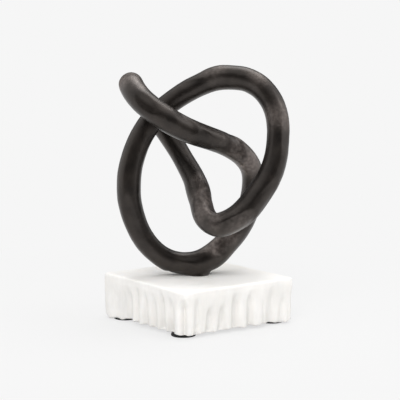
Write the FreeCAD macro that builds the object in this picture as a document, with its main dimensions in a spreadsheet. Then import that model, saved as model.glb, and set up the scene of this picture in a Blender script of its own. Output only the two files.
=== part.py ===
import FreeCAD, Part
import math
import os

import Sketcher

# A cast metal knot on a hand-carved square marble plinth with four stick-on pads.
# Millimetres, +Z up. The origin is the centre of the plinth's footprint on the floor,
# and the plinth's sides run along X and Y.

Vector = FreeCAD.Vector
Z_AXIS = Vector(0, 0, 1)

# Driving sizes in millimetres, angles in degrees
SIZES = {
    # Plinth: a square block whose foot stands in from its top on every side
    "plinth_side": 130.0,
    "plinth_foot_inset": 2.3,
    "plinth_height": 40.5,
    "plinth_edge_round": 1.2,
    # Gouge marks round the plinth, at its foot
    "gouge_width": 10.0,
    "gouge_depth": 4.0,
    "corner_gouge_radius": 3.2,
    "corner_gouge_depth": 4.6,
    # Stick-on pads
    "pad_diameter": 22.5,
    "pad_thickness": 3.0,
    "pad_edge_round": 0.8,
    "pad_side_inset": 11.7,
    "pad_front_inset": 15.95,
    # Knot: half its width and depth on the rod's centre line, and the rise of that line
    "knot_half_width": 70.0,
    "knot_half_depth": 40.0,
    "knot_rise": 175.0,
    "knot_turn_angle": 36.5,
    "rod_diameter": 22.0,
    "rod_ground_off": 1.0,
    "foot_disc_diameter": 21.0,
    "foot_disc_thickness": 2.5,
    # Fixing from below: stud, washers and nut in a counterbore
    "thread_diameter": 8.0,
    "thread_clearance": 0.1,
    "thread_chamfer": 0.8,
    "tapped_depth": 13.0,
    "stud_end_gap": 1.0,
    "stud_tail": 2.0,
    "stud_recess": 2.2,
    "bolt_hole_clearance": 2.0,
    "counterbore_clearance": 4.0,
    "washer_diameter": 24.0,
    "washer_thickness": 2.0,
    "washer_clearance": 0.4,
    "spring_washer_diameter": 14.8,
    "spring_washer_thickness": 2.0,
    "spring_washer_slot": 1.2,
    "nut_across_flats": 13.0,
    "nut_thickness": 6.8,
    "nut_chamfer": 0.9,
    # How far a cutting shape runs past what it cuts
    "cut_overrun": 2.0,
}

# The rod's closed centre line, seen from the front of the knot: across as a share of
# knot_half_width, up as a share of knot_rise, towards the viewer as a share of
# knot_half_depth, and the rod's thickness as a share of rod_diameter
KNOT_ROUTE_SHARES = [
    (-0.07, 0.000, 0.00, 1.05),
    (-0.52, 0.050, 0.10, 0.95),
    (-0.82, 0.213, 0.17, 0.97),
    (-0.925, 0.406, 0.15, 1.03),
    (-0.85, 0.600, 0.00, 1.00),
    (-0.61, 0.773, -0.20, 0.97),
    (-0.295, 0.883, -0.30, 0.95),
    (0.07, 0.964, -0.32, 1.00),
    (0.43, 0.999, -0.25, 1.04),
    (0.82, 0.950, -0.08, 1.02),
    (1.025, 0.827, 0.10, 0.99),
    (1.057, 0.686, 0.30, 0.96),
    (0.98, 0.524, 0.52, 1.03),
    (0.735, 0.366, 0.75, 1.10),
    (0.46, 0.266, 0.90, 1.10),
    (0.207, 0.241, 0.85, 1.00),
    (0.07, 0.295, 0.55, 0.94),
    (0.015, 0.388, 0.10, 1.02),
    (-0.155, 0.527, -0.35, 0.91),
    (-0.377, 0.667, -0.70, 0.93),
    (-0.635, 0.804, -0.92, 0.93),
    (-0.825, 0.903, -0.78, 0.94),
    (-0.897, 0.963, -0.28, 1.03),
    (-0.795, 0.908, 0.25, 1.05),
    (-0.557, 0.828, 0.52, 1.07),
    (-0.17, 0.736, 0.50, 1.05),
    (0.22, 0.671, 0.22, 0.99),
    (0.52, 0.607, -0.12, 0.98),
    (0.723, 0.500, -0.44, 0.96),
    (0.74, 0.381, -0.60, 0.98),
    (0.66, 0.256, -0.58, 1.00),
    (0.49, 0.148, -0.42, 1.06),
    (0.215, 0.043, -0.18, 1.10),
]

# Gouge marks on one side, from its left end to its right end as seen from outside: place
# along the side, then width, height and depth as shares of gouge_width, plinth_height and
# gouge_depth
RIGHT_SIDE_GOUGE_SHARES = [
    (0.117, 0.60, 0.85, 0.45),
    (0.233, 0.95, 0.60, 0.65),
    (0.346, 1.25, 0.62, 0.60),
    (0.469, 1.25, 0.88, 0.70),
    (0.604, 1.05, 0.85, 0.85),
    (0.83, 2.90, 0.88, 0.75),
]
LEFT_SIDE_GOUGE_SHARES = [
    (0.037, 0.80, 0.45, 0.60),
    (0.229, 3.60, 0.90, 0.55),
    (0.31, 1.70, 0.75, 1.35),
    (0.426, 1.05, 0.88, 0.75),
    (0.53, 1.40, 0.83, 0.85),
    (0.637, 1.15, 0.85, 0.65),
    (0.739, 1.35, 0.93, 0.85),
    (0.843, 1.25, 0.83, 0.90),
]

# The groove down each corner, by the corner's turn from +X in degrees: its depth at the
# foot as a share of corner_gouge_depth
CORNER_GOUGE_SHARES = {45: 0.8, 135: 0.6, 225: 1.0, 315: 0.6}

# Counts that set how finely the rod's skin follows its centre line
RINGS_ALONG_ROD = 66
POLES_ROUND_ROD = 8

doc = FreeCAD.newDocument("knot_sculpture")
sheet = doc.addObject("Spreadsheet::Sheet", "Sizes")
for row, (alias, value) in enumerate(SIZES.items(), start=1):
    sheet.set(f"A{row}", alias)
    sheet.set(f"B{row}", str(value))
    sheet.setAlias(f"B{row}", alias)
doc.recompute()


def size(alias):
    return float(getattr(sheet, alias))


def bind(thing, **expressions):
    """Ties properties of an object to cells of the sheet."""
    for name, expression in expressions.items():
        thing.setExpression(name, expression)


def named(thing, label):
    thing.Label = label
    return thing


# Heights of the faces that the pieces share
PLINTH_UNDERSIDE = "Sizes.pad_thickness"
PLINTH_TOP = "(Sizes.pad_thickness + Sizes.plinth_height)"
STUD_UNDERSIDE = f"({PLINTH_UNDERSIDE} + Sizes.stud_recess)"
NUT_UNDERSIDE = f"({STUD_UNDERSIDE} + Sizes.stud_tail)"
NUT_TOP = f"({NUT_UNDERSIDE} + Sizes.nut_thickness)"
SPRING_WASHER_TOP = f"({NUT_TOP} + Sizes.spring_washer_thickness)"
COUNTERBORE_ROOF = f"({SPRING_WASHER_TOP} + Sizes.washer_thickness)"

# Half the plinth's side at its foot, where the pads are
FOOT_HALF = "(Sizes.plinth_side / 2 - Sizes.plinth_foot_inset)"


def plinth_top_height():
    return size("pad_thickness") + size("plinth_height")


def plinth_foot_side():
    return size("plinth_side") - 2 * size("plinth_foot_inset")


# Sketches and solid features

def flat_sketch(body, name, height):
    """A sketch on the body's own XY plane, raised to a height given as an expression."""
    plane = next(f for f in body.Origin.OriginFeatures if f.Role == "XY_Plane")
    sketch = body.newObject("Sketcher::SketchObject", name)
    sketch.AttachmentSupport = (plane, [""])
    sketch.MapMode = "FlatFace"
    sketch.setExpression("AttachmentOffset.Base.z", height)
    return sketch


def add_circle(sketch, name, diameter):
    """A circle round the sketch's origin with its diameter tied to an expression."""
    index = sketch.addGeometry(Part.Circle(Vector(), Z_AXIS, 1.0), False)
    sketch.addConstraint(Sketcher.Constraint("Coincident", index, 3, -1, 1))
    rule = sketch.addConstraint(Sketcher.Constraint("Diameter", index, 2.0))
    sketch.renameConstraint(rule, name)
    sketch.setExpression(f"Constraints.{name}", diameter)


def add_polygon(sketch, corners, name, across_flats):
    """A regular polygon round the sketch's origin, one side facing +X, sized across its flats."""
    angle = 2 * math.pi / corners
    turns = [angle * (k - 0.5) for k in range(corners)]
    points = [Vector(math.cos(turn), math.sin(turn), 0) for turn in turns]
    sides = [
        sketch.addGeometry(Part.LineSegment(points[k], points[(k + 1) % corners]), False)
        for k in range(corners)
    ]
    guide = sketch.addGeometry(Part.Circle(Vector(), Z_AXIS, 1.0), True)
    for k, side in enumerate(sides):
        sketch.addConstraint(Sketcher.Constraint("Coincident", side, 2, sides[(k + 1) % corners], 1))
        sketch.addConstraint(Sketcher.Constraint("PointOnObject", side, 1, guide))
    for side in sides[1:]:
        sketch.addConstraint(Sketcher.Constraint("Equal", sides[0], side))
    sketch.addConstraint(Sketcher.Constraint("Coincident", guide, 3, -1, 1))
    sketch.addConstraint(Sketcher.Constraint("Vertical", sides[0]))
    rule = sketch.addConstraint(Sketcher.Constraint("Diameter", guide, 2.0))
    sketch.renameConstraint(rule, name)
    sketch.setExpression(f"Constraints.{name}", f"{across_flats} / cos(180 deg / {corners})")


def pad(body, sketch, name, length):
    """Raises a sketch upwards by a length given as an expression."""
    feature = body.newObject("PartDesign::Pad", name)
    feature.Profile = sketch
    bind(feature, Length=length)
    sketch.Visibility = False
    return feature


def pocket_upwards(body, sketch, name, depth):
    """Cuts a sketch upwards into the body by a depth given as an expression."""
    feature = body.newObject("PartDesign::Pocket", name)
    feature.Profile = sketch
    feature.Reversed = True
    bind(feature, Length=depth)
    sketch.Visibility = False
    return feature


def edges_where(shape, test):
    """Names of the shape's edges whose bounding box passes a test."""
    return [f"Edge{n}" for n, edge in enumerate(shape.Edges, start=1) if test(edge.BoundBox)]


def dress(body, kind, name, edges, **expressions):
    """A fillet or chamfer on edges of the body's tip."""
    base = body.Tip
    feature = body.newObject(f"PartDesign::{kind}", name)
    feature.Base = (base, edges)
    bind(feature, **expressions)
    return feature


def level_edges(height):
    """A test for edges that lie flat at a height."""
    tight = size("cut_overrun") / 1000
    return lambda box: abs(box.ZMin - height) < tight and abs(box.ZMax - height) < tight


# Marble plinth

def plinth_block():
    """The square block before carving, narrowing to its foot, with its bolt hole and counterbore."""
    body = doc.addObject("PartDesign::Body", "plinth_block")
    wedge = body.newObject("PartDesign::AdditiveWedge", "tapered_block")
    wedge.Placement = FreeCAD.Placement(Vector(), FreeCAD.Rotation(Vector(1, 0, 0), 90))
    top_half = "Sizes.plinth_side / 2"
    bind(wedge, Ymin=PLINTH_UNDERSIDE, Ymax=PLINTH_TOP,
         Xmin=f"-{FOOT_HALF}", Xmax=FOOT_HALF, Zmin=f"-{FOOT_HALF}", Zmax=FOOT_HALF,
         X2min=f"-{top_half}", X2max=top_half, Z2min=f"-{top_half}", Z2max=top_half)
    doc.recompute()
    rim = edges_where(wedge.Shape, level_edges(plinth_top_height()))
    dress(body, "Fillet", "top_edge_round", rim, Radius="Sizes.plinth_edge_round")
    doc.recompute()
    before = body.Shape.Volume
    bore = flat_sketch(body, "bolt_hole_outline", PLINTH_UNDERSIDE)
    add_circle(bore, "bolt_hole", "Sizes.thread_diameter + Sizes.bolt_hole_clearance")
    pocket_upwards(body, bore, "bolt_hole_cut", "Sizes.plinth_height + Sizes.cut_overrun")
    counterbore = flat_sketch(body, "counterbore_outline", PLINTH_UNDERSIDE)
    add_circle(counterbore, "counterbore", "Sizes.washer_diameter + Sizes.counterbore_clearance")
    pocket_upwards(body, counterbore, "counterbore_cut", f"{COUNTERBORE_ROOF} - {PLINTH_UNDERSIDE}")
    doc.recompute()
    if not body.Shape.Volume < before:
        raise RuntimeError("the plinth's holes cut nothing")
    return body


def gouge(name, side_angle, along, width, height, depth):
    """One mark of a round gouge: a cylinder that leaves the side at a height and is
    deepest at the foot. It is laid out on the side that faces -Y, then turned."""
    radius = (width * width / 4 + depth * depth) / (2 * depth)
    run = size("cut_overrun")
    foot_half = plinth_foot_side() / 2
    slope = size("plinth_foot_inset") / size("plinth_height")
    # The axis stands clear of the side by the radius where the mark ends, less the depth at the foot
    low = Vector(along, -(foot_half + radius - depth), size("pad_thickness"))
    high = Vector(along, -(foot_half + slope * height + radius), size("pad_thickness") + height)
    line = (high - low).normalize()
    start = low - line * (run + radius)
    tool = doc.addObject("Part::Cylinder", name)
    tool.Radius = radius
    tool.Height = (high - low).Length + 2 * (run + radius)
    stand = FreeCAD.Placement(start, FreeCAD.Rotation(Z_AXIS, line))
    turn = FreeCAD.Placement(Vector(), FreeCAD.Rotation(Z_AXIS, side_angle))
    tool.Placement = turn.multiply(stand)
    return tool


def corner_gouge(name, corner_angle, depth):
    """A groove down one corner, deepest at the foot and gone at the top."""
    radius = size("corner_gouge_radius")
    run = size("cut_overrun")
    reach = radius - depth
    low = Vector(plinth_foot_side() / math.sqrt(2) + reach, 0, size("pad_thickness"))
    high = Vector(size("plinth_side") / math.sqrt(2) + radius, 0, plinth_top_height())
    line = (high - low).normalize()
    start = low - line * (run + radius)
    tool = doc.addObject("Part::Cylinder", name)
    tool.Radius = radius
    tool.Height = (high - low).Length + 2 * (run + radius)
    stand = FreeCAD.Placement(start, FreeCAD.Rotation(Z_AXIS, line))
    turn = FreeCAD.Placement(Vector(), FreeCAD.Rotation(Z_AXIS, corner_angle))
    tool.Placement = turn.multiply(stand)
    return tool


def gouges():
    """Every gouge mark: two sides as seen, and the two hidden sides in the same hand, mirrored."""
    right, left = RIGHT_SIDE_GOUGE_SHARES, LEFT_SIDE_GOUGE_SHARES
    mirrored_right, mirrored_left = [
        [(1 - place, wide, tall, deep) for place, wide, tall, deep in table] for table in (right, left)
    ]
    tables = {0: right, 90: mirrored_left, 180: mirrored_right, 270: left}
    tools = []
    for angle, table in tables.items():
        for n, (place, wide, tall, deep) in enumerate(table):
            along = (place - 0.5) * plinth_foot_side()
            width = wide * size("gouge_width")
            height = tall * size("plinth_height")
            depth = deep * size("gouge_depth")
            tools.append(gouge(f"gouge_{angle}_{n}", angle, along, width, height, depth))
    for angle, share in CORNER_GOUGE_SHARES.items():
        tools.append(corner_gouge(f"corner_gouge_{angle}", angle, share * size("corner_gouge_depth")))
    return tools


def marble_base():
    """The block with its marks cut one after another, as they are made by hand."""
    block = carved = plinth_block()
    for tool in gouges():
        cut = doc.addObject("Part::Cut", f"{tool.Name}_cut")
        cut.Base = carved
        cut.Tool = tool
        carved = cut
    doc.recompute()
    if not carved.Shape.Volume < block.Shape.Volume:
        raise RuntimeError("the gouges cut nothing")
    return named(carved, "marble_base")


# Stick-on pads

def stick_on_pad(label, across, along):
    """A round rubber pad, across and along being -1 or 1 for the corner it is under."""
    body = doc.addObject("PartDesign::Body", label)
    outline = flat_sketch(body, f"{label}_outline", "0 mm")
    add_circle(outline, "pad_outline", "Sizes.pad_diameter")
    pad(body, outline, f"{label}_disc", "Sizes.pad_thickness")
    doc.recompute()
    rim = edges_where(body.Tip.Shape, level_edges(0))
    dress(body, "Fillet", f"{label}_round", rim, Radius="Sizes.pad_edge_round")
    bind(body, **{
        "Placement.Base.x": f"{across} * ({FOOT_HALF} - Sizes.pad_side_inset)",
        "Placement.Base.y": f"{along} * ({FOOT_HALF} - Sizes.pad_front_inset)",
    })
    return named(body, label)


# Fixing hardware

def ring_body(label, underside, outer, bore, thickness):
    """A flat ring between two diameters, all given as expressions."""
    body = doc.addObject("PartDesign::Body", label)
    outline = flat_sketch(body, f"{label}_outline", underside)
    add_circle(outline, "outer", outer)
    add_circle(outline, "bore", bore)
    pad(body, outline, f"{label}_ring", thickness)
    return named(body, label)


def flat_washer():
    return ring_body("flat_washer", SPRING_WASHER_TOP, "Sizes.washer_diameter",
                     "Sizes.thread_diameter + Sizes.washer_clearance", "Sizes.washer_thickness")


def spring_washer():
    """A split ring, pressed flat under the nut."""
    body = ring_body("spring_washer", NUT_TOP, "Sizes.spring_washer_diameter",
                     "Sizes.thread_diameter + Sizes.washer_clearance",
                     "Sizes.spring_washer_thickness")
    doc.recompute()
    before = body.Shape.Volume
    slot = flat_sketch(body, "slot_outline", NUT_TOP)
    corners = [Vector(0, -1, 0), Vector(1, -1, 0), Vector(1, 1, 0), Vector(0, 1, 0)]
    lines = [Part.LineSegment(corners[k], corners[(k + 1) % 4]) for k in range(4)]
    sides = [slot.addGeometry(line, False) for line in lines]
    for k in range(4):
        slot.addConstraint(Sketcher.Constraint("Coincident", sides[k], 2, sides[(k + 1) % 4], 1))
    for k, rule in enumerate(("Horizontal", "Vertical", "Horizontal", "Vertical")):
        slot.addConstraint(Sketcher.Constraint(rule, sides[k]))
    slot.addConstraint(Sketcher.Constraint("Symmetric", sides[3], 1, sides[3], 2, -1, 1))
    wide = slot.addConstraint(Sketcher.Constraint("DistanceY", sides[1], 1, sides[1], 2, 1.0))
    long = slot.addConstraint(Sketcher.Constraint("DistanceX", sides[0], 1, sides[0], 2, 1.0))
    slot.renameConstraint(wide, "slot_width")
    slot.renameConstraint(long, "slot_length")
    slot.setExpression("Constraints.slot_width", "Sizes.spring_washer_slot")
    slot.setExpression("Constraints.slot_length", "Sizes.spring_washer_diameter")
    pocket_upwards(body, slot, "slot_cut", "Sizes.spring_washer_thickness + Sizes.cut_overrun")
    doc.recompute()
    if not body.Shape.Volume < before:
        raise RuntimeError("the spring washer's slot cut nothing")
    return body


def hex_nut():
    body = doc.addObject("PartDesign::Body", "hex_nut")
    outline = flat_sketch(body, "nut_outline", NUT_UNDERSIDE)
    add_polygon(outline, 6, "across_flats", "Sizes.nut_across_flats")
    add_circle(outline, "nut_bore", "Sizes.thread_diameter + Sizes.thread_clearance")
    pad(body, outline, "nut_block", "Sizes.nut_thickness")
    doc.recompute()
    bore_edges = edges_where(body.Tip.Shape, lambda box: box.ZLength < size("nut_chamfer")
                             and abs(box.XLength - box.YLength) < size("thread_clearance"))
    dress(body, "Chamfer", "nut_mouths", bore_edges, Size="Sizes.nut_chamfer")
    return named(body, "hex_nut")


def threaded_stud():
    """A threaded rod, drawn plain, from inside the knot's foot to just past the nut."""
    body = doc.addObject("PartDesign::Body", "threaded_stud")
    outline = flat_sketch(body, "stud_outline", STUD_UNDERSIDE)
    add_circle(outline, "stud", "Sizes.thread_diameter")
    pad(body, outline, "stud_rod",
        f"{PLINTH_TOP} + Sizes.tapped_depth - Sizes.stud_end_gap - {STUD_UNDERSIDE}")
    doc.recompute()
    ends = edges_where(body.Tip.Shape, lambda box: box.ZLength < size("thread_chamfer"))
    dress(body, "Chamfer", "stud_ends", ends, Size="Sizes.thread_chamfer")
    return named(body, "threaded_stud")


# Knot

def closed_curve(points, parameters=None):
    """A smooth closed curve through points."""
    curve = Part.BSplineCurve()
    if parameters is None:
        curve.interpolate(Points=points, PeriodicFlag=True)
    else:
        curve.interpolate(Points=points, PeriodicFlag=True, Parameters=parameters)
    return curve


def rod_rings():
    """Places, cross directions and radii of the rings that carry the rod's skin."""
    shares = KNOT_ROUTE_SHARES
    route = closed_curve([
        Vector(across * size("knot_half_width"), -near * size("knot_half_depth"), up * size("knot_rise"))
        for across, up, near, thick in shares
    ])
    # The count beside each thickness only keeps neighbouring points apart
    thicknesses = [Vector(share[3], count, 0) for count, share in enumerate(shares)]
    swell = closed_curve(thicknesses, route.getKnots())
    start, span = route.FirstParameter, route.LastParameter - route.FirstParameter
    places = [start + span * k / RINGS_ALONG_ROD for k in range(RINGS_ALONG_ROD + 1)]
    tangents = [Vector(*route.tangent(t)[0]).normalize() for t in places]
    # A cross direction is carried along the rod without turning about it
    across = [tangents[0].cross(Z_AXIS).normalize()]
    for tangent in tangents[1:]:
        carried = across[-1] - tangent * across[-1].dot(tangent)
        across.append(carried.normalize())
    # What it has turned after one lap is given back evenly, so that the skin closes
    first, last = across[0], across[-1]
    turned = math.atan2(first.cross(last).dot(tangents[0]), first.dot(last))
    rings = []
    for k in range(RINGS_ALONG_ROD):
        back = FreeCAD.Rotation(tangents[k], -math.degrees(turned) * k / RINGS_ALONG_ROD)
        side = back.multVec(across[k])
        radius = swell.value(places[k]).x * size("rod_diameter") / 2
        rings.append((route.value(places[k]), side, tangents[k].cross(side), radius))
    return places, rings


def rod_skin():
    """One closed surface round the rod, smooth along it and round it."""
    places, rings = rod_rings()
    step = 2 * math.pi / POLES_ROUND_ROD
    # Poles of a uniform cubic stand outside the circle that they draw by this much
    outset = 3 / (2 + math.cos(step))
    columns = []
    for n in range(POLES_ROUND_ROD):
        points = [centre + (side * math.cos(n * step) + up * math.sin(n * step)) * radius * outset
                  for centre, side, up, radius in rings]
        columns.append(closed_curve(points, places))
    knots = columns[0].getKnots()
    skin = Part.BSplineSurface()
    skin.buildFromPolesMultsKnots(
        [column.getPoles() for column in columns],
        [1] * (POLES_ROUND_ROD + 1), columns[0].getMultiplicities(),
        list(range(POLES_ROUND_ROD + 1)), knots, True, True, 3, 3,
    )
    return skin


def knot_rod():
    """The solid rod, tied in its knot and standing on the foot disc."""
    solid = Part.Solid(Part.Shell([rod_skin().toShape()]))
    if solid.Volume < 0:
        solid.reverse()
    lowest_share = KNOT_ROUTE_SHARES[0][3]
    rise = plinth_top_height() - size("rod_ground_off") + lowest_share * size("rod_diameter") / 2
    rod = doc.addObject("Part::Feature", "knot_rod")
    rod.Shape = solid
    turn = FreeCAD.Rotation(Z_AXIS, -size("knot_turn_angle"))
    rod.Placement = FreeCAD.Placement(Vector(0, 0, rise), turn)
    return rod


def ground_rod():
    """The rod with its lowest side ground flat where it meets the plinth."""
    waste = doc.addObject("Part::Box", "ground_off")
    across = "2 * Sizes.foot_disc_diameter"
    bind(waste, Length=across, Width=across, Height="Sizes.rod_diameter")
    bind(waste, **{
        "Placement.Base.x": "-Sizes.foot_disc_diameter",
        "Placement.Base.y": "-Sizes.foot_disc_diameter",
        "Placement.Base.z": f"{PLINTH_TOP} - Sizes.rod_diameter",
    })
    ground = doc.addObject("Part::Cut", "ground_rod")
    ground.Base = knot_rod()
    ground.Tool = waste
    return ground


def upright_cylinder(name, diameter, height, underside):
    cylinder = doc.addObject("Part::Cylinder", name)
    bind(cylinder, Radius=f"({diameter}) / 2", Height=height)
    bind(cylinder, **{"Placement.Base.z": underside})
    return cylinder


def knot():
    """The casting: the ground rod, its foot disc and the tapped hole for the stud."""
    disc = upright_cylinder("foot_disc", "Sizes.foot_disc_diameter",
                            "Sizes.foot_disc_thickness", PLINTH_TOP)
    cast = doc.addObject("Part::Fuse", "knot_casting")
    cast.Base = ground_rod()
    cast.Tool = disc
    hole = upright_cylinder("tapped_hole", "Sizes.thread_diameter + Sizes.thread_clearance",
                            "Sizes.tapped_depth + Sizes.cut_overrun",
                            f"{PLINTH_TOP} - Sizes.cut_overrun")
    drilled = doc.addObject("Part::Cut", "knot")
    drilled.Base = cast
    drilled.Tool = hole
    return named(drilled, "knot")


def build():
    nodes = [knot(), marble_base(), threaded_stud(), flat_washer(), spring_washer(), hex_nut()]
    for along, end in ((-1, "front"), (1, "back")):
        for across, side in ((-1, "left"), (1, "right")):
            nodes.append(stick_on_pad(f"pad_{end}_{side}", across, along))
    doc.recompute()
    return nodes


def check(nodes):
    """Stops if any object failed or a piece isn't one sound solid."""
    for thing in doc.Objects:
        if {"Invalid", "Error"} & set(thing.State):
            raise RuntimeError(f"{thing.Label} failed: {thing.State}")
    for node in nodes:
        shape = node.Shape
        if shape.isNull() or not shape.isValid() or len(shape.Solids) != 1:
            raise RuntimeError(f"{node.Label} is not one valid solid")
        print(f"{node.Label}: {shape.Volume / 1000:.2f} cm3")


def main():
    nodes = build()
    check(nodes)
    os.makedirs("parts", exist_ok=True)
    for node in nodes:
        node.Shape.exportStep(os.path.join("parts", f"{node.Label}.step"))


main()
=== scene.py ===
import math

import bmesh
import bpy
import numpy as np
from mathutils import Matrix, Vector


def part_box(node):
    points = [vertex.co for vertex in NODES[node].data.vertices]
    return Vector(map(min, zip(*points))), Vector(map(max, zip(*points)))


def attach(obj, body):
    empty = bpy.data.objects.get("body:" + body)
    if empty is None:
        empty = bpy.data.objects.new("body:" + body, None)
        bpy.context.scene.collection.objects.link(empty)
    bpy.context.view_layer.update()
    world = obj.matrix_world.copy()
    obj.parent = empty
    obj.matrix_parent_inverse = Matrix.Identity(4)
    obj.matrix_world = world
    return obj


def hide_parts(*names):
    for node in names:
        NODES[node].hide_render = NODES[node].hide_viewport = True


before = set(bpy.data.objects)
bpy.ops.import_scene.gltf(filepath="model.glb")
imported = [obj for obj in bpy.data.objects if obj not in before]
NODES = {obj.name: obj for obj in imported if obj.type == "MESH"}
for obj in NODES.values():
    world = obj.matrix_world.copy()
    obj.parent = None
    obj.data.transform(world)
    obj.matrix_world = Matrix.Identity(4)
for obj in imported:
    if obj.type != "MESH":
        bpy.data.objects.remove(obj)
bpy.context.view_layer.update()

MM = 0.001

# The stone's top, where the knot stands, and its underside, where the pads are stuck
STONE_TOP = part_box("marble_base")[1].z
STONE_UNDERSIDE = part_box("marble_base")[0].z
STONE_HALF_SIDE = 65 * MM

# The knot's route, for finding places on it: half its width and depth, its rise, and the
# height of its lowest centre; its turn about the upright axis
KNOT_HALF_WIDTH = 70 * MM
KNOT_HALF_DEPTH = 40 * MM
KNOT_RISE = 175 * MM
KNOT_FOOT_HEIGHT = 54 * MM
KNOT_TURN = math.radians(-36.5)
ROD_RADIUS = 11 * MM

# Camera: where the photograph was taken from, and the field it takes in
CAMERA_AZIMUTH = math.radians(-36.5)
CAMERA_ELEVATION = math.radians(7.6)
CAMERA_DISTANCE = 1450 * MM
CAMERA_LENS_MM = 139.2
CAMERA_AIM = Vector((1.45, -1.07, 114.5)) * MM

PAD_NODES = ("pad_front_left", "pad_front_right", "pad_back_left", "pad_back_right")

# The M8 fixing: its thread's pitch and depth, the step it is drawn in, and half the bores of
# the washers and of the nut
THREAD_PITCH = 1.25 * MM
THREAD_DEPTH = 0.76 * MM
THREAD_STEP = THREAD_PITCH / 6
WASHER_HALF_BORE = 4.2 * MM
NUT_HALF_BORE = 4.05 * MM

# The backdrop's white, as the photograph shows it
BACKDROP_HEX = "#f6f6f6"


# Colours and nodes

def linear(hex_colour):
    """A linear RGBA colour from an sRGB hex value."""
    channels = [int(hex_colour[k:k + 2], 16) / 255 for k in (1, 3, 5)]
    return [c / 12.92 if c <= 0.04045 else ((c + 0.055) / 1.055) ** 2.4 for c in channels] + [1.0]


def add(tree, kind, inputs=None, **settings):
    """Adds a node. Settings are its own properties; inputs go to its sockets, by name or
    place, and each is a value or another node's output to link."""
    node = tree.nodes.new(kind)
    for name, value in settings.items():
        setattr(node, name, value)
    for key, value in (inputs or {}).items():
        socket = node.inputs[key]
        if isinstance(value, bpy.types.NodeSocket):
            tree.links.new(value, socket)
        else:
            socket.default_value = value
    return node


def new_material(name):
    """An empty material and its tree, with an output and the object's own coordinates."""
    material = bpy.data.materials.new(name)
    material.use_nodes = True
    tree = material.node_tree
    tree.nodes.clear()
    output = add(tree, "ShaderNodeOutputMaterial")
    place = add(tree, "ShaderNodeTexCoord").outputs["Object"]
    return material, tree, output, place


def finish_material(tree, output, surface):
    tree.links.new(surface, output.inputs["Surface"])


def ramp(tree, factor, stops):
    """A colour ramp with stops given as (place, hex colour or grey level)."""
    node = add(tree, "ShaderNodeValToRGB", {"Fac": factor})
    elements = node.color_ramp.elements
    while len(elements) < len(stops):
        elements.new(0.5)
    for element, (place, colour) in zip(elements, stops):
        element.position = place
        element.color = linear(colour) if isinstance(colour, str) else [colour] * 3 + [1.0]
    return node.outputs["Color"]


def noise(tree, place, size, detail, distortion=0.0):
    """A cloudy pattern from 0 to 1, whose clouds are about one size across."""
    return add(tree, "ShaderNodeTexNoise", {
        "Vector": place, "Scale": 1 / size, "Detail": detail, "Distortion": distortion,
    }).outputs["Fac"]


def work_out(tree, operation, *values):
    """The result of one sum on numbers or nodes' outputs."""
    return add(tree, "ShaderNodeMath", dict(enumerate(values)), operation=operation).outputs[0]


def rescaled(tree, value, low, high, new_low, new_high):
    """A value brought from one range to another."""
    inputs = {"Value": value, 1: low, 2: high, 3: new_low, 4: new_high}
    return add(tree, "ShaderNodeMapRange", inputs).outputs[0]


def between(tree, share, one, other):
    """A colour between two others."""
    inputs = {"Factor": share, 6: one, 7: other}
    return add(tree, "ShaderNodeMix", inputs, data_type="RGBA").outputs[2]


# Shapes

def smooth_step(low, high, value):
    """0 below low and 1 above high, with a soft change between them."""
    share = np.clip((value - low) / (high - low), 0, 1)
    return share * share * (3 - 2 * share)


def wander(points, grain, seed):
    """Smooth random values from -1 to 1 that change over a length of grain (one length, or
    one for each axis)."""
    lattice = np.random.default_rng(seed).uniform(-1, 1, (48, 48, 48))
    place = points / grain
    cell = np.floor(place).astype(int)
    ease = place - cell
    ease = ease * ease * (3 - 2 * ease)
    total = np.zeros(len(points))
    for corner in np.ndindex(2, 2, 2):
        weight = np.where(corner, ease, 1 - ease).prod(axis=1)
        total += weight * lattice[tuple(((cell + corner) % 48).T)]
    return total


def mesh_points(mesh):
    points = np.empty(len(mesh.vertices) * 3)
    mesh.vertices.foreach_get("co", points)
    return points.reshape(-1, 3)


def mesh_normals(mesh):
    normals = np.empty(len(mesh.vertices) * 3)
    mesh.vertices.foreach_get("normal", normals)
    return normals.reshape(-1, 3)


def set_points(mesh, points):
    mesh.vertices.foreach_set("co", points.ravel())
    mesh.update()


def relaxed(mesh, points, rounds, freedom):
    """Points drawn towards the middle of their neighbours, each by its own freedom, 0 to 1."""
    edges = np.empty(len(mesh.edges) * 2, dtype=int)
    mesh.edges.foreach_get("vertices", edges)
    one, other = edges.reshape(-1, 2).T
    ends, others = np.concatenate([one, other]), np.concatenate([other, one])
    count = np.bincount(ends, minlength=len(points))[:, None]
    for _ in range(rounds):
        sums = [np.bincount(ends, points[others, k], len(points)) for k in range(3)]
        points = points + freedom[:, None] * (np.stack(sums, axis=1) / count - points)
    return points


def skin_again(name, node, facet):
    """A new piece with a CAD node's form, its skin laid out in even facets of one size."""
    piece = bpy.data.objects.new(name, NODES[node].data.copy())
    bpy.context.scene.collection.objects.link(piece)
    remesh = piece.modifiers.new("even_facets", "REMESH")
    remesh.mode = "VOXEL"
    remesh.voxel_size = facet
    remesh.use_smooth_shade = True
    ready = piece.evaluated_get(bpy.context.evaluated_depsgraph_get())
    mesh = bpy.data.meshes.new_from_object(ready)
    piece.modifiers.clear()
    piece.data = mesh
    return piece


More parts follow.
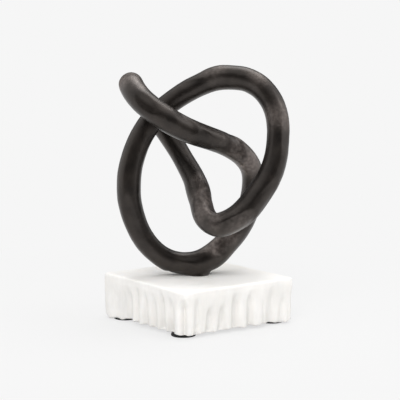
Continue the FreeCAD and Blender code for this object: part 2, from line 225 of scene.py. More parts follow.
def rings_piece(name, rings, closed, crease=30):
    """A piece whose skin runs over rings of points in turn. Its first and last ring are
    joined if it is closed, and otherwise each is capped."""
    count = len(rings[0])
    points = [point for ring in rings for point in ring]
    faces = []
    for k in range(len(rings) if closed else len(rings) - 1):
        a, b = k * count, (k + 1) % len(rings) * count
        faces += [(a + n, a + (n + 1) % count, b + (n + 1) % count, b + n) for n in range(count)]
    if not closed:
        faces.append(tuple(reversed(range(count))))
        faces.append(tuple(range(len(points) - count, len(points))))
    mesh = bpy.data.meshes.new(name)
    mesh.from_pydata(points, [], faces)
    form = bmesh.new()
    form.from_mesh(mesh)
    bmesh.ops.recalc_face_normals(form, faces=form.faces)
    form.to_mesh(mesh)
    form.free()
    mesh.shade_smooth()
    mesh.set_sharp_from_angle(angle=math.radians(crease))
    piece = bpy.data.objects.new(name, mesh)
    bpy.context.scene.collection.objects.link(piece)
    return piece


def circle(radius, height, centre=(0, 0), count=96):
    """A level ring of points. The radius is a length, or a function of the angle."""
    ring = []
    for n in range(count):
        angle = 2 * math.pi * n / count
        reach = radius(angle) if callable(radius) else radius
        ring.append((centre[0] + reach * math.cos(angle), centre[1] + reach * math.sin(angle),
                     height))
    return ring


def hand_over(piece, node, material):
    """Puts a piece in a CAD node's place."""
    dress(piece, material)
    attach(piece, "root")
    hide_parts(node)


# Materials

def blackened_cast_metal():
    """Sand-cast aluminium, blackened, worn back by rubbing and waxed: a brown-black satin skin,
    matt and paler in patches where the metal is worn bare or the casting is rough. These paler
    patches are partly painted sheen, set where the rod's highlights fall."""
    material, tree, output, place = new_material("blackened_cast_metal")
    # Worn, pale patches of bare metal, which are also painted sheen where highlights fall
    rubbed_and_sheen = add(tree, "ShaderNodeAttribute", attribute_name="rubbed_and_sheen").outputs["Fac"]
    # Clouds of thicker and thinner blackening, about 14 mm across
    clouds = noise(tree, place, 14 * MM, 5.0)
    # Cast grain of 0.9 mm, drawn about twice as coarse as real sand grain so that it shows
    grain = noise(tree, place, 0.9 * MM, 3.0)
    # Small dents left in the skin by the sand, 3 mm apart
    dents = noise(tree, place, 3 * MM, 2.0)
    dark = ramp(tree, clouds, [(0.32, "#2b2521"), (0.7, "#3f3833")])
    # The pale colour of worn metal, which also serves as painted sheen
    pale = ramp(tree, dents, [(0.3, "#756b66"), (0.7, "#9d928c")])
    colour = between(tree, rubbed_and_sheen, dark, pale)
    polish = rescaled(tree, clouds, 0.3, 0.7, 0.38, 0.50)
    roughness = work_out(tree, "MULTIPLY_ADD", rubbed_and_sheen, 0.16, polish)
    depth = work_out(tree, "MULTIPLY_ADD", rubbed_and_sheen, 0.7, 0.4)
    height = work_out(tree, "MULTIPLY", work_out(tree, "ADD", grain, dents), depth)
    bump = add(tree, "ShaderNodeBump", {"Height": height, "Strength": 0.5, "Distance": 0.16 * MM})
    surface = add(tree, "ShaderNodeBsdfPrincipled", {
        "Base Color": colour, "Metallic": 1.0, "Roughness": roughness,
        "Normal": bump.outputs["Normal"],
        "Coat Weight": 0.65, "Coat Roughness": 0.34, "Coat IOR": 1.5,
    })
    finish_material(tree, output, surface.outputs["BSDF"])
    return material


def white_marble():
    """White marble, honed on top and carved round its sides: faintly clouded and a little
    translucent. Its carved sides are greyer, most in the gouge valleys: painted shade,
    streaked along the tool marks."""
    material, tree, output, place = new_material("white_marble")
    # Soft grey clouds 40 mm across, tool streaks 4 mm apart that run up the sides, and
    # crystal grain, drawn at 1.3 mm so that it shows
    clouds = noise(tree, place, 40 * MM, 5.0, distortion=0.8)
    upright = add(tree, "ShaderNodeMapping", {"Vector": place, "Scale": (1.0, 1.0, 0.2)}).outputs[0]
    streaks = noise(tree, upright, 4 * MM, 2.0)
    crystal = noise(tree, place, 1.3 * MM, 3.0)
    # The carved sides: rougher and bumpier where tooled, and painted with shade that deepens in the
    # valleys
    cut_and_shade = add(tree, "ShaderNodeAttribute", attribute_name="cut_and_shade").outputs["Fac"]
    stone = ramp(tree, clouds, [(0.3, "#efede9"), (0.55, "#f6f4f1"), (0.72, "#f9f7f4")])
    # A greyer stone for the carved sides: painted shade, streaked along the tool marks
    tooled_and_shaded = ramp(tree, streaks, [(0.3, "#dddbd7"), (0.7, "#efedea")])
    colour = between(tree, work_out(tree, "MULTIPLY", cut_and_shade, 0.6), stone, tooled_and_shaded)
    roughness = work_out(tree, "MULTIPLY_ADD", cut_and_shade, 0.3, 0.55)
    height = work_out(tree, "MULTIPLY", work_out(tree, "ADD", streaks, crystal), cut_and_shade)
    bump = add(tree, "ShaderNodeBump", {"Height": height, "Strength": 0.35, "Distance": 0.25 * MM})
    surface = add(tree, "ShaderNodeBsdfPrincipled", {
        "Base Color": colour, "Roughness": roughness, "IOR": 1.49,
        "Subsurface Weight": 0.15, "Subsurface Radius": (1.0, 0.9, 0.8),
        "Subsurface Scale": 1.0 * MM, "Normal": bump.outputs["Normal"],
    })
    finish_material(tree, output, surface.outputs["BSDF"])
    return material


def zinc_plated_steel():
    """Bright zinc plating on steel: pale blue-grey with a faint crystalline mottle."""
    material, tree, output, place = new_material("zinc_plated_steel")
    # Crystals of about 1.5 mm
    mottle = noise(tree, place, 1.5 * MM, 3.0)
    colour = ramp(tree, mottle, [(0.3, "#b9bdc0"), (0.7, "#cdd0d2")])
    roughness = rescaled(tree, mottle, 0.3, 0.7, 0.26, 0.38)
    surface = add(tree, "ShaderNodeBsdfPrincipled", {
        "Base Color": colour, "Metallic": 1.0, "Roughness": roughness,
    })
    finish_material(tree, output, surface.outputs["BSDF"])
    return material


def black_rubber():
    """Moulded black rubber: matt, with the fine grain of its mould and a little dust grey."""
    material, tree, output, place = new_material("black_rubber")
    # Patches of dust about 6 mm across, and mould grain of 0.4 mm
    dust = noise(tree, place, 6 * MM, 3.0)
    grain = noise(tree, place, 0.4 * MM, 1.0)
    colour = ramp(tree, dust, [(0.35, "#141414"), (0.75, "#1f1e1d")])
    bump = add(tree, "ShaderNodeBump", {"Height": grain, "Strength": 0.3, "Distance": 0.06 * MM})
    surface = add(tree, "ShaderNodeBsdfPrincipled", {
        "Base Color": colour, "Roughness": 0.72, "IOR": 1.52, "Normal": bump.outputs["Normal"],
    })
    finish_material(tree, output, surface.outputs["BSDF"])
    return material


def dress(piece, material):
    piece.data.materials.clear()
    piece.data.materials.append(material)


def mark(mesh, name, values):
    """Writes one number a point to the mesh, for a material to read."""
    attribute = mesh.attributes.new(name, "FLOAT", "POINT")
    attribute.data.foreach_set("value", np.clip(values, 0, 1))


# Knot

# Places where the casting is worn pale or rough, by the knot's own shares: across, up and
# near, then how far it reaches in millimetres and how strong it is. The pale patches are
# also painted sheen: several sit where the rod's highlights fall.
RUBBED_AND_SHEEN_SHARES = [
    (-0.92, 1.00, -0.15, 24, 1.0),
    (-0.75, 0.96, 0.20, 16, 0.5),
    (-0.42, 0.83, 0.45, 16, 0.35),
    (0.30, 0.69, 0.25, 14, 0.3),
    (0.52, 0.63, 0.05, 18, 0.7),
    (0.66, 0.55, -0.15, 20, 1.0),
    (0.13, 0.36, 0.40, 22, 0.85),
    (0.08, 0.44, 0.15, 16, 0.6),
    (0.10, 0.29, 0.70, 18, 0.75),
    (0.24, 0.27, 0.95, 14, 0.6),
    (0.20, 0.11, 0.00, 17, 0.8),
    (0.36, 0.17, -0.15, 19, 0.85),
    (0.50, 0.24, -0.40, 16, 0.5),
    (1.06, 0.80, 0.25, 20, 0.65),
    (0.80, 0.99, 0.00, 16, 0.4),
    (0.20, 1.03, -0.20, 18, 0.4),
    (0.55, 0.25, 1.00, 20, 0.3),
    (-0.80, 0.55, -0.25, 20, 0.4),
    (0.70, 0.30, -0.85, 18, 0.4),
]

# Places where the rod swells, by the same shares: how far it reaches and how much it
# stands out, in millimetres
SWELL_SHARES = [
    (0.22, 1.045, -0.30, 20, 1.5),
    (0.43, 0.935, -0.25, 15, 0.7),
    (-0.15, 0.375, 0.10, 15, 1.0),
    (0.21, 0.345, 0.30, 13, 0.8),
    (0.33, -0.01, -0.20, 17, 0.8),
    (-0.01, 0.455, -0.10, 11, -0.6),
    (0.55, 0.70, -0.10, 14, 0.5),
]

# Flats left by the file: the rod's centre by the same shares, the way the flat faces
# (across, up, near), its reach and depth in millimetres
FLAT_SHARES = [
    ((0.60, 0.316, 0.83), (0.30, -0.50, 0.82), 40, 0.7),
    ((0.86, 0.445, 0.64), (0.55, -0.20, 0.81), 34, 0.35),
    ((0.52, 0.607, -0.12), (0.35, 0.55, 0.75), 24, 0.9),
    ((0.01, 0.388, 0.10), (0.80, 0.20, 0.56), 24, 0.6),
    ((-0.87, 0.310, 0.16), (-0.15, -0.10, 0.98), 36, 0.8),
    ((-0.07, 0.000, 0.00), (-0.10, -0.35, 0.93), 36, 0.4),
    ((1.04, 0.760, 0.20), (0.70, 0.20, 0.68), 36, 0.7),
    ((-0.897, 0.963, -0.28), (-0.45, 0.70, 0.55), 18, 0.8),
    ((-0.557, 0.828, 0.52), (-0.20, 0.35, 0.91), 28, 0.45),
    ((-0.85, 0.600, 0.00), (-0.40, 0.10, -0.91), 32, 0.9),
    ((0.66, 0.256, -0.58), (0.35, -0.20, -0.91), 30, 1.0),
    ((-0.635, 0.804, -0.92), (-0.50, 0.20, -0.84), 24, 0.9),
    ((0.98, 0.524, 0.52), (0.55, -0.25, -0.80), 30, 0.8),
    ((0.215, 0.043, -0.18), (0.40, 0.55, 0.73), 20, 0.8),
    ((-0.15, 0.770, 0.38), (0.05, 0.30, 0.95), 22, 0.7),
    ((0.14, 0.720, 0.31), (-0.10, -0.38, 0.92), 20, 0.7),
    ((-0.02, 0.985, -0.42), (-0.10, -0.45, 0.89), 22, 0.6),
]


def knot_way(across, up, near):
    """A direction or offset given across, up and towards the viewer."""
    return np.array([across * math.cos(KNOT_TURN) + near * math.sin(KNOT_TURN),
                     across * math.sin(KNOT_TURN) - near * math.cos(KNOT_TURN), up])


def knot_place(across, up, near):
    """A point given by the knot's own shares."""
    offset = knot_way(across * KNOT_HALF_WIDTH, up * KNOT_RISE, near * KNOT_HALF_DEPTH)
    return offset + np.array([0, 0, KNOT_FOOT_HEIGHT])


def swell(points):
    """How far the rod stands out at each point, in millimetres."""
    total = np.zeros(len(points))
    for across, up, near, reach, height in SWELL_SHARES:
        distance = np.linalg.norm(points - knot_place(across, up, near), axis=1)
        total += height * (1 - smooth_step(0.1, 1.0, distance / (reach * MM)))
    return total


def filed(points, freedom):
    """The points with each flat filed off."""
    for place, way, reach, depth in FLAT_SHARES:
        centre, face = knot_place(*place), knot_way(*way)
        face /= np.linalg.norm(face)
        offset = points - centre
        inside = 1 - smooth_step(0.55, 1.0, np.linalg.norm(offset, axis=1) / (reach * MM))
        over = np.clip(offset @ face - (ROD_RADIUS - depth * MM), 0, 2 * depth * MM)
        points = points - face * (over * inside * freedom)[:, None]
    return points


def rubbed_and_sheen_share(points):
    """How far each point is worn pale and painted with sheen, 0 to 1, in patches with ragged edges.
    """
    share = np.zeros(len(points))
    for across, up, near, reach, strength in RUBBED_AND_SHEEN_SHARES:
        distance = np.linalg.norm(points - knot_place(across, up, near), axis=1)
        share = np.maximum(share, strength * (1 - smooth_step(0.3, 1.0, distance / (reach * MM))))
    ragged = 0.75 + 0.35 * wander(points, 8 * MM, 21) + 0.36 * wander(points, 2.6 * MM, 22)
    return share * np.clip(ragged, 0, 1)


def cast_knot():
    """The cast rod, worked by hand: its thickness wanders, with flats and shallow hollows,
    and small sand pits where it was worn down; its paler worn patches are also painted sheen."""
    piece = skin_again("cast_knot", "knot", 0.75 * MM)
    mesh = piece.data
    points = mesh_points(mesh)
    above = points[:, 2] - STONE_TOP
    freedom = smooth_step(0.3 * MM, 2.0 * MM, above)
    points = relaxed(mesh, points, 5, 0.7 * freedom)
    points = filed(points, freedom)
    points = relaxed(mesh, points, 13, 0.7 * freedom)
    set_points(mesh, points)
    # Worn, pale patches: partly real wear, partly painted sheen
    rubbed_and_sheen = rubbed_and_sheen_share(points)
    lumps = 0.42 * wander(points, 27 * MM, 1) + 0.16 * wander(points, 13 * MM, 2)
    lumps += 0.07 * wander(points, 5 * MM, 3)
    pits = np.clip(wander(points, 2.2 * MM, 4) - 0.25, 0, 1) * (0.08 + 0.4 * rubbed_and_sheen)
    shift = (lumps + swell(points) - 0.1 - pits) * MM * freedom
    points = points + mesh_normals(mesh) * shift[:, None]
    # The foot's rim is worn down to a thin lip
    from_axis = np.linalg.norm(points[:, :2], axis=1)
    above = points[:, 2] - STONE_TOP
    rim = smooth_step(7.5 * MM, 9.5 * MM, from_axis)
    rim *= 1 - smooth_step(10.7 * MM, 12.0 * MM, from_axis)
    rim *= 1 - smooth_step(2.2 * MM, 4.0 * MM, above)
    points[:, 2] -= 0.55 * above * rim
    # Beyond the foot the rod's underside curves up off the stone
    beyond = np.clip(from_axis - 10 * MM, 0, None) / MM
    above = points[:, 2] - STONE_TOP
    lift = 0.03 * beyond ** 2 * MM * (1 - smooth_step(0, 5 * MM, above))
    points[:, 2] += np.clip(lift, 0, 1.2 * MM)
    low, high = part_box("knot")
    points = np.clip(points, np.array(low), np.array(high))
    set_points(mesh, points)
    # The worn patches, partly painted sheen, go to the metal's colour
    mark(mesh, "rubbed_and_sheen", rubbed_and_sheen)
    hand_over(piece, "knot", METAL)


# Marble

# Valleys that deepen the gouge marks between soft ridges, on one side from its left end as
# seen from outside: place along the side as a share, half width in millimetres, height as a
# share of the stone's, and depth at the foot in millimetres
RIGHT_VALLEY_SHARES = [
    (0.117, 2.4, 0.88, 1.8),
    (0.233, 3.4, 0.68, 2.4),
    (0.346, 3.8, 0.70, 2.0),
    (0.469, 4.0, 0.88, 2.6),
    (0.604, 3.6, 0.88, 2.6),
    (0.72, 1.8, 0.80, 0.9),
    (0.80, 5.0, 0.90, 1.2),
    (0.905, 3.0, 0.75, 1.6),
    (0.965, 1.6, 0.5, 0.8),
]
LEFT_VALLEY_SHARES = [
    (0.03, 2.0, 0.55, 1.2),
    (0.15, 7.0, 0.80, 1.0),
    (0.25, 7.0, 0.86, 1.3),
    (0.325, 3.2, 0.78, 2.0),
    (0.426, 3.0, 0.90, 2.2),
    (0.53, 3.2, 0.84, 2.0),
    (0.637, 3.2, 0.86, 1.8),
    (0.735, 3.6, 0.93, 2.4),
    (0.845, 4.0, 0.86, 2.8),
]


# The stone's sides in turn: how far round each is in degrees, its valleys, and whether they
# run the other way
SIDES = [
    (0, RIGHT_VALLEY_SHARES, False),
    (90, LEFT_VALLEY_SHARES, True),
    (180, RIGHT_VALLEY_SHARES, True),
    (270, LEFT_VALLEY_SHARES, False),
]

# Its corners: the way each faces in degrees, its radius in millimetres, how far it is split
# in two lobes, and whether the solid's groove there is filled up
CORNERS = [
    (225, 5, 1.0, True),
    (135, 5, 0.0, True),
    (315, 5, 0.25, False),
    (45, 6, 0.6, True),
]

# Places that set how low the foot hangs, in millimetres: the place and its reach, how low it
# hangs, and how far the wall flares out. The first is the near corner, where the pad shows,
# and the others are in front of the two side pads
FOOT_PLACES = [
    (-64, -64, 34, 0.45, 0.0),
    (-64, 45, 15, 2.3, 1.0),
    (49, -64, 13, 1.9, 0.0),
]


def valleys(points, height_share):
    """How deep each point of the stone's sides lies in a valley, in millimetres."""
    half = STONE_HALF_SIDE
    total = np.zeros(len(points))
    for turn, table, mirrored in SIDES:
        angle = math.radians(turn)
        along = points[:, 0] * math.cos(angle) + points[:, 1] * math.sin(angle)
        facing = points[:, 0] * math.sin(angle) - points[:, 1] * math.cos(angle)
        here = smooth_step(half - 14 * MM, half - 8 * MM, facing)
        # Each valley leans and sways a little on its way up
        along = along + 1.2 * MM * wander(points, np.array([30, 30, 14]) * MM, 30 + turn)
        for place, wide, tall, deep in table:
            middle = (0.5 - place if mirrored else place - 0.5) * 2 * (half - 2.3 * MM)
            across = np.exp(-((along - middle) / (wide * MM)) ** 2)
            total += deep * across * (1 - smooth_step(tall - 0.35, tall, height_share)) * here
    return total


def carved_marble():
    """The stone with its sides carved by a gouge: soft ridges between the marks, streaks
    that run down them, and a ragged, chipped foot."""
    piece = skin_again("carved_marble", "marble_base", 0.8 * MM)
    mesh = piece.data
    points = mesh_points(mesh)
    outside = smooth_step(46 * MM, 54 * MM, np.abs(points[:, :2]).max(axis=1))
    points = relaxed(mesh, points, 9, 0.8 * outside)
    set_points(mesh, points)
    normals = mesh_normals(mesh)
    below_top = STONE_TOP - points[:, 2]
    above_foot = points[:, 2] - STONE_UNDERSIDE
    side = outside * smooth_step(0.25, 0.7, 1 - np.abs(normals[:, 2]))
    height_share = above_foot / (STONE_TOP - STONE_UNDERSIDE)
    valley = valleys(points, height_share)
    # The sides belly out towards the foot, but least at the near corner
    from_corner = np.hypot(points[:, 0] + STONE_HALF_SIDE, points[:, 1] + STONE_HALF_SIDE)
    afar = smooth_step(38 * MM, 72 * MM, from_corner)
    bulge = 1.3 * (1 - height_share) + 1.7 * afar * (1 - height_share) ** 2
    streaks = 0.26 * (wander(points, np.array([3.2, 3.2, 30]) * MM, 11) - 1) / 2
    lumps = 1.0 * (wander(points, np.array([8, 8, 15]) * MM, 12) - 1) / 2
    chisel = 0.10 * (wander(points, np.array([1.6, 1.6, 6]) * MM, 13) - 1) / 2
    brim = 1.0 * (wander(points, 9 * MM, 14) - 1) / 2
    brim *= 1 - smooth_step(1 * MM, 8 * MM, below_top)
    shift = (bulge - 1.3 * valley + streaks + lumps + chisel + brim) * MM * side
    # The honed top dips very slightly, away from the knot
    hollow = -0.05 * MM * (1 + wander(points, 22 * MM, 15)) / 2
    hollow *= smooth_step(0.7, 0.95, normals[:, 2]) * (above_foot > 30 * MM)
    hollow *= smooth_step(16 * MM, 24 * MM, np.linalg.norm(points[:, :2], axis=1))
    points = points + normals * (shift + hollow)[:, None]
    points = corners_rounded(points, side, height_share)
    points = skirt(points, valley, above_foot)
    points = chipped(points, above_foot)
    low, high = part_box("marble_base")
    # The top's edge is worn round, more in some places than in others
    brink = 1 - smooth_step(3.5 * MM, 5.5 * MM, below_top)
    brink *= smooth_step(57 * MM, 60 * MM, np.abs(points[:, :2]).max(axis=1))
    points = relaxed(mesh, points, 26, brink * (0.6 + 0.3 * wander(points, 10 * MM, 16)))
    # The foot may hang below the flat underside, but stays off the floor
    low.z = 0.4 * MM
    points = np.clip(points, np.array(low), np.array(high))
    set_points(mesh, points)
    # The carved sides, more in the valleys: rougher where tooled, and painted shade in the colour
    mark(mesh, "cut_and_shade", side * (0.4 + 0.25 * valley))
    hand_over(piece, "marble_base", MARBLE)


def corners_rounded(points, side, height_share):
    """The stone's points with its corners rounded. The near corner is two round lobes with a
    crease between them, which closes towards the top."""
    corner = STONE_HALF_SIDE * math.sqrt(2)
    lobe, middle = 4.6 * MM, 5.6 * MM
    for degrees, radius, lobed, filled in CORNERS:
        angle = math.radians(degrees)
        reach = points[:, 0] * math.cos(angle) + points[:, 1] * math.sin(angle)
        aside = np.abs(points[:, 1] * math.cos(angle) - points[:, 0] * math.sin(angle))
        radius = radius * MM
        flat = corner - aside
        rise = np.sqrt(np.clip(radius ** 2 - aside ** 2, 0, None))
        whole = corner - radius * math.sqrt(2) + rise
        whole = np.where(aside < radius / math.sqrt(2), whole, flat)
        rise = np.sqrt(np.clip(lobe ** 2 - (aside - middle) ** 2, 0, None))
        twin = corner - middle - lobe * math.sqrt(2) + rise
        twin = np.where(aside < middle + lobe / math.sqrt(2), twin, flat)
        share = lobed * (1 - smooth_step(0.55, 0.92, height_share))
        edge = whole + share * (twin - whole)
        fill = side * (1 - smooth_step(5 * MM, 12 * MM, aside)) * (reach > corner - 16 * MM)
        wanted = np.where(reach > edge, edge - reach, 0.75 * fill * (edge - reach) * filled)
        points[:, 0] += wanted * math.cos(angle)
        points[:, 1] += wanted * math.sin(angle)
    return points


def pad_measures(node):
    """A pad's centre, its radius and the height of its top."""
    low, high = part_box(node)
    return ((low.x + high.x) / 2, (low.y + high.y) / 2), (high.x - low.x) / 2, high.z


def skirt(points, valley, above_foot):
    """The stone's points with the foot of its sides ragged. It hangs a little below the flat
    underside, most in front of the two side pads, and never over a pad."""
    near_foot = 1 - smooth_step(0, 8 * MM, above_foot)
    out = np.abs(points[:, :2]).max(axis=1)
    wall = (63.5 - 1.3 * valley) * MM
    rim = smooth_step(wall - 3.5 * MM, wall - 2.0 * MM, out)
    deep = np.clip(0.5 + 0.35 * wander(points, 9 * MM, 17) - 0.2 * valley, 0, None)
    for x, y, reach, low, flare in FOOT_PLACES:
        away = np.hypot(points[:, 0] - x * MM, points[:, 1] - y * MM)
        near = 1 - smooth_step(0.5, 1.0, away / (reach * MM))
        deep = deep + near * (low - deep)
        points[:, 0] -= flare * MM * near * near_foot * rim
    for node in PAD_NODES:
        centre, radius, _ = pad_measures(node)
        away = np.hypot(points[:, 0] - centre[0], points[:, 1] - centre[1])
        deep = deep * smooth_step(0.15 * MM, 0.6 * MM, away - radius)
    points[:, 2] -= deep * MM * rim * near_foot
    return points


def chipped(points, above_foot):
    """The stone's points with small flakes broken off along the edge of its foot."""
    random = np.random.default_rng(5)
    half = np.abs(points[above_foot < 2 * MM][:, :2]).max()
    for _ in range(60):
        along, side = random.uniform(-1, 1) * half, random.integers(4)
        reach, depth = random.uniform(1.5, 4.0) * MM, random.uniform(0.3, 0.9) * MM
        edge = np.array([along, -half + 2.5 * MM])
        turn = side * math.pi / 2
        place = np.array([edge[0] * math.cos(turn) - edge[1] * math.sin(turn),
                          edge[0] * math.sin(turn) + edge[1] * math.cos(turn), STONE_UNDERSIDE])
        distance = np.linalg.norm(points - place, axis=1)
        lift = depth * (1 - smooth_step(0.2, 1.0, distance / reach))
        points[:, 2] += lift
    return points


# Pads and fixing

def rubber_pad(node):
    """A round stick-on pad: rounded at its foot, with a shallow hollow beneath and a narrower
    neck against the stone."""
    centre, radius, top = pad_measures(node)
    # Heights from the floor, and what the radius there differs from the pad's own, in
    # millimetres
    profile = [(0.35, -radius / MM + 0.4), (0.35, -4.0), (0.3, -3.2), (0.0, -2.6), (0.0, -1.5),
               (0.06, -1.0), (0.2, -0.5), (0.45, -0.16), (0.75, 0.0), (1.4, -0.02),
               (1.8, -0.08), (1.95, -0.2), (2.0, -0.45), (2.0, -0.6), (2.05, -0.5),
               (2.5, -0.45), (top / MM, -0.5)]
    rings = [circle(radius + inset * MM, height * MM, centre) for height, inset in profile]
    piece = rings_piece(f"{node}_rubber", rings, False)
    hand_over(piece, node, RUBBER)


def thread_depth(turn, height):
    """How far the screw thread falls below its crest, from 0 to 1."""
    phase = (height / THREAD_PITCH - turn / (2 * math.pi)) % 1
    return min(1, max(0, 1.25 * (1 - abs(2 * phase - 1)) - 0.1))


def stud():
    """A threaded stud with its ends chamfered."""
    low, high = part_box("threaded_stud")
    radius = (high.x - low.x) / 2
    rings = []
    for k in range(int((high.z - low.z) / THREAD_STEP) + 1):
        height = low.z + k * THREAD_STEP
        end = min(k * THREAD_STEP, high.z - height) + radius - 0.9 * MM
        rings.append(circle(
            lambda turn: min(end, radius - THREAD_DEPTH * thread_depth(turn, height)),
            height, count=40))
    hand_over(rings_piece("stud_with_thread", rings, False), "threaded_stud", STEEL)


def nut():
    """A hexagon nut with its corners chamfered and its bore threaded."""
    low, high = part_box("hex_nut")
    half = (high.x - low.x) / 2
    sixth = math.pi / 3

    def outside(height):
        cone = half - 0.35 * MM + 1.73 * min(height - low.z, high.z - height)
        return lambda turn: min(cone, half / math.cos((turn + sixth / 2) % sixth - sixth / 2))

    # Close together at the chamfers
    heights = [low.z, low.z + 0.2 * MM, low.z + 0.5 * MM, low.z + 0.9 * MM, (low.z + high.z) / 2,
               high.z - 0.9 * MM, high.z - 0.5 * MM, high.z - 0.2 * MM, high.z]
    rings = [circle(outside(height), height, count=72) for height in heights]
    for k in range(int((high.z - low.z) / THREAD_STEP) + 1):
        height = high.z - k * THREAD_STEP
        mouth = NUT_HALF_BORE + 0.8 * MM - min(k * THREAD_STEP, height - low.z)
        rings.append(circle(
            lambda turn: max(mouth, NUT_HALF_BORE - 0.05 * MM * thread_depth(turn, height)),
            height, count=72))
    hand_over(rings_piece("nut_with_thread", rings, True), "hex_nut", STEEL)


def flat_ring():
    """A wide washer, stamped: a rounded edge on one face and a sharper one on the other."""
    low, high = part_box("flat_washer")
    outer, bore = (high.x - low.x) / 2, WASHER_HALF_BORE
    profile = [(bore, low.z + 0.2 * MM), (bore + 0.2 * MM, low.z), (outer - 0.5 * MM, low.z),
               (outer - 0.15 * MM, low.z + 0.12 * MM), (outer, low.z + 0.45 * MM),
               (outer, high.z - 0.1 * MM), (outer - 0.1 * MM, high.z),
               (bore + 0.1 * MM, high.z), (bore, high.z - 0.1 * MM)]
    rings = [circle(radius, height) for radius, height in profile]
    hand_over(rings_piece("washer_stamped", rings, True), "flat_washer", STEEL)


def split_ring():
    """A spring washer: a square-section ring, split through on one side."""
    low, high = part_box("spring_washer")
    outer, bore = (high.x - low.x) / 2, WASHER_HALF_BORE
    half_gap, bevel, count = 0.6 * MM, 0.25 * MM, 72
    section = [(bore + bevel, low.z), (outer - bevel, low.z), (outer, low.z + bevel),
               (outer, high.z - bevel), (outer - bevel, high.z), (bore + bevel, high.z),
               (bore, high.z - bevel), (bore, low.z + bevel)]
    first = math.asin(half_gap / outer)
    rings = []
    for k in range(count + 1):
        turn = first + (2 * math.pi - 2 * first) * k / count
        rings.append([(radius * math.cos(turn), radius * math.sin(turn), height)
                      for radius, height in section])
    hand_over(rings_piece("washer_split", rings, False), "spring_washer", STEEL)


# Floor, light and camera

def studio_rays(tree):
    """1 for rays that see the backdrop, straight or in a reflection, 0 for rays that light."""
    path = add(tree, "ShaderNodeLightPath").outputs
    seen = work_out(tree, "MAXIMUM", path["Is Camera Ray"], path["Is Glossy Ray"])
    return work_out(tree, "MAXIMUM", seen, path["Is Transmission Ray"])


def lay_floor():
    """A plain pale floor. Near the object it shows the shadow, and further out it is the
    backdrop's plain white."""
    bpy.ops.mesh.primitive_plane_add(size=200.0)
    floor = bpy.context.object
    floor.name = "floor"
    material, tree, output, place = new_material("pale_floor")
    away = add(tree, "ShaderNodeVectorMath", {0: place}, operation="LENGTH").outputs["Value"]
    # The backdrop's share of what is seen grows from 0.72 at 0.12 m to all of it at 0.45 m
    plain = rescaled(tree, away, 0.12, 0.45, 0.72, 1.0)
    seen = work_out(tree, "MULTIPLY", studio_rays(tree), plain)
    matt = add(tree, "ShaderNodeBsdfDiffuse", {"Color": linear("#d8d8d8")})
    white = add(tree, "ShaderNodeEmission", {"Color": linear(BACKDROP_HEX), "Strength": 1.0})
    mix = add(tree, "ShaderNodeMixShader", {0: seen, 1: matt.outputs[0], 2: white.outputs[0]})
    finish_material(tree, output, mix.outputs[0])
    material.cycles.emission_sampling = "NONE"
    dress(floor, material)


def light_world():
    """An even white surround: it is seen as the backdrop, and its fill light is dimmer."""
    world = bpy.data.worlds.new("studio")
    bpy.context.scene.world = world
    world.use_nodes = True
    tree = world.node_tree
    tree.nodes.clear()
    output = add(tree, "ShaderNodeOutputWorld")
    world.cycles.sampling_method = "NONE"
    fill = add(tree, "ShaderNodeBackground", {"Color": linear("#ffffff"), "Strength": 0.62})
    white = add(tree, "ShaderNodeBackground", {"Color": linear(BACKDROP_HEX), "Strength": 1.0})
    mix = add(tree, "ShaderNodeMixShader",
              {0: studio_rays(tree), 1: fill.outputs[0], 2: white.outputs[0]})
    finish_material(tree, output, mix.outputs[0])


def hang_flag(name, turn, spread):
    """A large dark cloth, curved round one side of the studio. Its middle is turned from the
    camera's side, and it spreads as far again either way, both in degrees. Only reflections
    show it: it gives the metal its dark middle."""
    radius, foot, head, columns = 3.0, 0.0, 2.6, 24
    turn, spread = math.radians(turn), math.radians(spread)
    points, faces = [], []
    for k in range(columns + 1):
        azimuth = CAMERA_AZIMUTH + turn + spread * (2 * k / columns - 1)
        for height in (foot, head):
            points.append((radius * math.sin(azimuth), -radius * math.cos(azimuth), height))
    for k in range(columns):
        faces.append((2 * k, 2 * k + 2, 2 * k + 3, 2 * k + 1))
    mesh = bpy.data.meshes.new(name)
    mesh.from_pydata(points, [], faces)
    flag = bpy.data.objects.new(name, mesh)
    bpy.context.scene.collection.objects.link(flag)
    material, tree, output, _ = new_material("black_cloth")
    cloth = add(tree, "ShaderNodeEmission", {"Color": linear("#5a5a5a"), "Strength": 1.0})
    finish_material(tree, output, cloth.outputs[0])
    material.cycles.emission_sampling = "NONE"
    dress(flag, material)
    flag.visible_camera = False
    flag.visible_diffuse = False
    flag.visible_transmission = False
    flag.visible_shadow = False


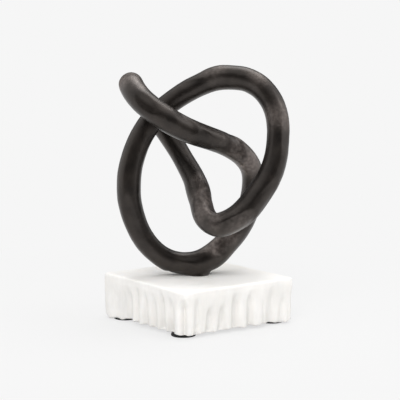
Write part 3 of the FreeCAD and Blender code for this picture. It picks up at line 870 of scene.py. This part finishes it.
def outward(azimuth, elevation):
    """The direction from the object towards a place round it, azimuth 0 being in front."""
    return Vector((math.sin(azimuth) * math.cos(elevation),
                   -math.cos(azimuth) * math.cos(elevation), math.sin(elevation)))


def softbox(name, turn, elevation, distance, width, height, power, mirrored=True):
    """A lamp that faces the object, turned from the camera's side, to the right if positive.
    Angles are in degrees, lengths in metres and power in watts. Shiny surfaces mirror it
    unless told not to."""
    azimuth = CAMERA_AZIMUTH + math.radians(turn)
    direction = outward(azimuth, math.radians(elevation))
    lamp = bpy.data.lights.new(name, "AREA")
    lamp.shape = "RECTANGLE"
    lamp.size = width
    lamp.size_y = height
    lamp.energy = power
    holder = bpy.data.objects.new(name, lamp)
    holder.location = CAMERA_AIM + direction * distance
    holder.rotation_euler = direction.to_track_quat("Z", "Y").to_euler()
    holder.visible_glossy = mirrored
    bpy.context.scene.collection.objects.link(holder)


def set_camera():
    camera = bpy.data.cameras.new("camera")
    camera.lens = CAMERA_LENS_MM
    holder = bpy.data.objects.new("camera", camera)
    holder.location = CAMERA_AIM + outward(CAMERA_AZIMUTH, CAMERA_ELEVATION) * CAMERA_DISTANCE
    holder.rotation_euler = (math.pi / 2 - CAMERA_ELEVATION, 0, CAMERA_AZIMUTH)
    bpy.context.scene.collection.objects.link(holder)
    bpy.context.scene.camera = holder


def set_stage():
    bpy.context.scene.view_settings.view_transform = "Standard"
    lay_floor()
    light_world()
    hang_flag("dark_flag_front", 0, 58)
    hang_flag("dark_flag_back", 180, 42)
    softbox("key", 80, 36, 2.0, 0.45, 0.8, 3.0)
    softbox("front", -10, 38, 2.0, 0.9, 0.9, 17, mirrored=False)
    softbox("back_top", 150, 70, 1.8, 1.1, 1.1, 11)
    softbox("ceiling", 60, 82, 1.9, 1.6, 1.6, 12, mirrored=False)
    set_camera()


# The whole object

set_stage()

METAL = blackened_cast_metal()
MARBLE = white_marble()
STEEL = zinc_plated_steel()
RUBBER = black_rubber()

cast_knot()
carved_marble()
for pad in PAD_NODES:
    rubber_pad(pad)
stud()
nut()
flat_ring()
split_ring()
